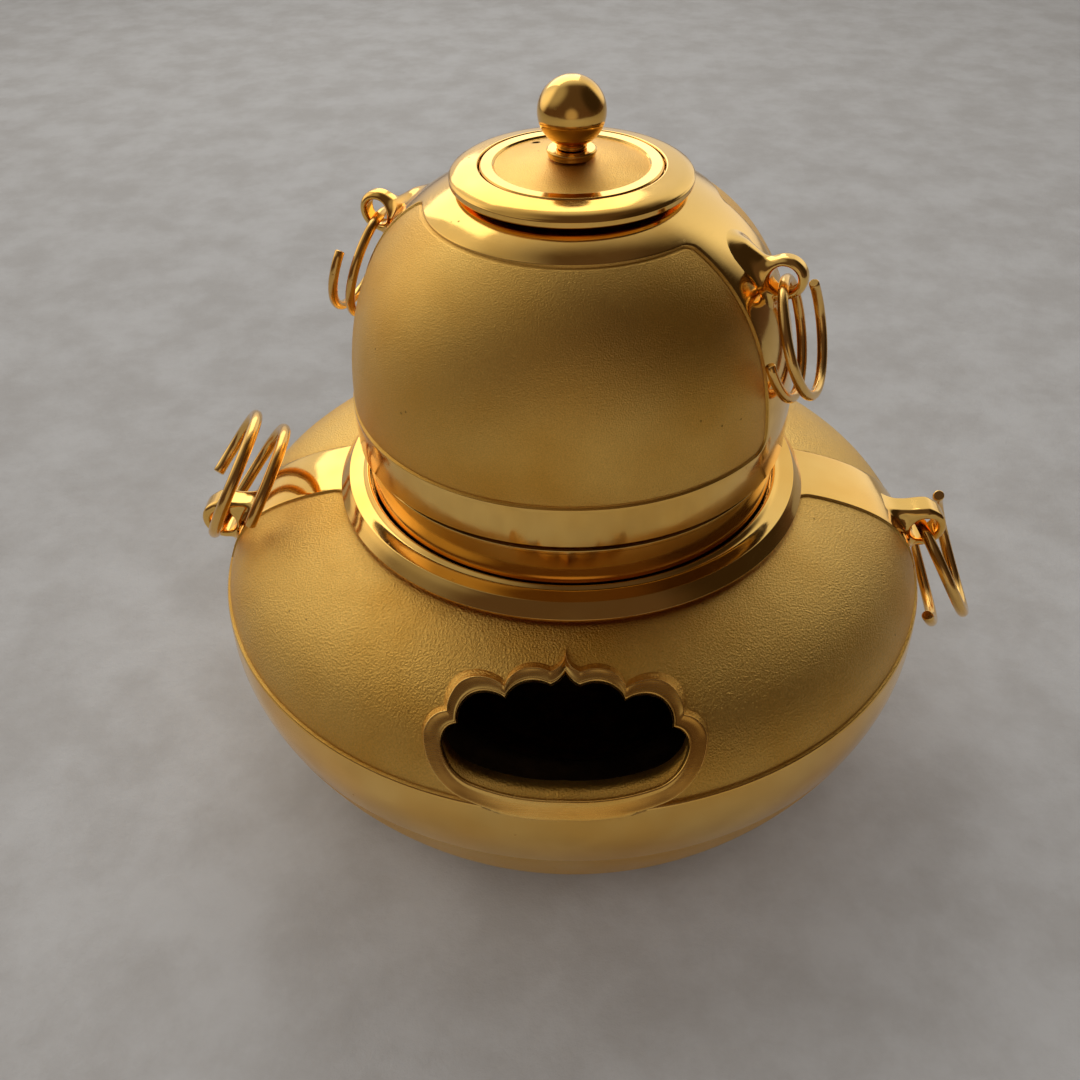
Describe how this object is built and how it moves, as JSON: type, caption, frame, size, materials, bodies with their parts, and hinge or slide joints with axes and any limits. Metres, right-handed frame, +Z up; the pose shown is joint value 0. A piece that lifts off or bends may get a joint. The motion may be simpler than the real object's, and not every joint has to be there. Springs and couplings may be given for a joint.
{
  "type": "incense burner",
  "caption": "Gilt tabletop incense burner shaped as a round brazier with a scalloped smoke window, a lift-off kettle with a lid and ball knob, and swinging wire rings on lugs.",
  "frame": {"origin": "centre of the brazier's flat underside, 3.6 mm above the table it stands on", "axes": "+Z up, -Y through the smoke window, +X through the brazier's right lug"},
  "size_m": [0.1336, 0.1175, 0.1178],
  "materials": {
    "matt_gilt": "fine grained matt gold plate with polished edges",
    "polished_gilt": "polished gold plate",
    "gilt_wire": "polished gold plated wire",
    "liner_copper": "sooty spun copper",
    "raw_brass": "bare turned brass"
  },
  "bodies": {
    "brazier": {"brazier_shell": "matt_gilt", "window_border": "polished_gilt", "brazier_mouth_ring": "polished_gilt", "brazier_lug_left": "polished_gilt", "brazier_lug_right": "polished_gilt", "brazier_lug_nut_left": "raw_brass", "brazier_lug_nut_right": "raw_brass", "foot_front_left": "polished_gilt", "foot_front_right": "polished_gilt", "foot_back": "polished_gilt", "foot_screw_front_left": "raw_brass", "foot_screw_front_right": "raw_brass", "foot_screw_back": "raw_brass"},
    "ash_bowl": {"ash_bowl": "liner_copper"},
    "kettle": {"kettle_shell": "matt_gilt", "kettle_pan": "polished_gilt", "kettle_mouth": "polished_gilt", "kettle_lug_left": "polished_gilt", "kettle_lug_right": "polished_gilt", "kettle_lug_nut_left": "raw_brass", "kettle_lug_nut_right": "raw_brass"},
    "lid": {"lid_plate": "polished_gilt", "lid_locating_ring": "raw_brass", "knob_collar": "polished_gilt", "knob_ball": "polished_gilt", "knob_washer": "raw_brass", "knob_nut": "raw_brass"},
    "brazier_ring_left": {"brazier_ring_left": "gilt_wire"},
    "brazier_ring_right": {"brazier_ring_right": "gilt_wire"},
    "kettle_ring_left": {"kettle_ring_left": "gilt_wire"},
    "kettle_ring_right": {"kettle_ring_right": "gilt_wire"}
  },
  "joints": [
    {"name": "kettle_lift", "type": "slide", "parent": "brazier", "child": "kettle", "axis": [0, 0, 1], "range_m": [0, 0.06]},
    {"name": "lid_lift", "type": "slide", "parent": "kettle", "child": "lid", "axis": [0, 0, 1], "range_m": [0, 0.03]},
    {"name": "ash_bowl_lift", "type": "slide", "parent": "brazier", "child": "ash_bowl", "axis": [0, 0, 1], "range_m": [0, 0.03]},
    {"name": "brazier_ring_left_swing", "type": "hinge", "parent": "brazier", "child": "brazier_ring_left", "pos_m": [-0.0592, 0, 0.0407], "axis": [0, 1, 0], "range_deg": [-150, 0]},
    {"name": "brazier_ring_right_swing", "type": "hinge", "parent": "brazier", "child": "brazier_ring_right", "pos_m": [0.0592, 0, 0.0406], "axis": [0, -1, 0], "range_deg": [-6, 142]},
    {"name": "kettle_ring_left_swing", "type": "hinge", "parent": "kettle", "child": "kettle_ring_left", "pos_m": [-0.02891, 0.01092, 0.0905], "axis": [0.3535, 0.9354, 0], "range_deg": [0, 185]},
    {"name": "kettle_ring_right_swing", "type": "hinge", "parent": "kettle", "child": "kettle_ring_right", "pos_m": [0.02891, -0.01092, 0.0905], "axis": [-0.3535, -0.9354, 0], "range_deg": [0, 180]}
  ],
  "couplings": [
    {"joint": "ash_bowl_lift", "follows": "kettle_lift", "ratio": 0.5}
  ]
}
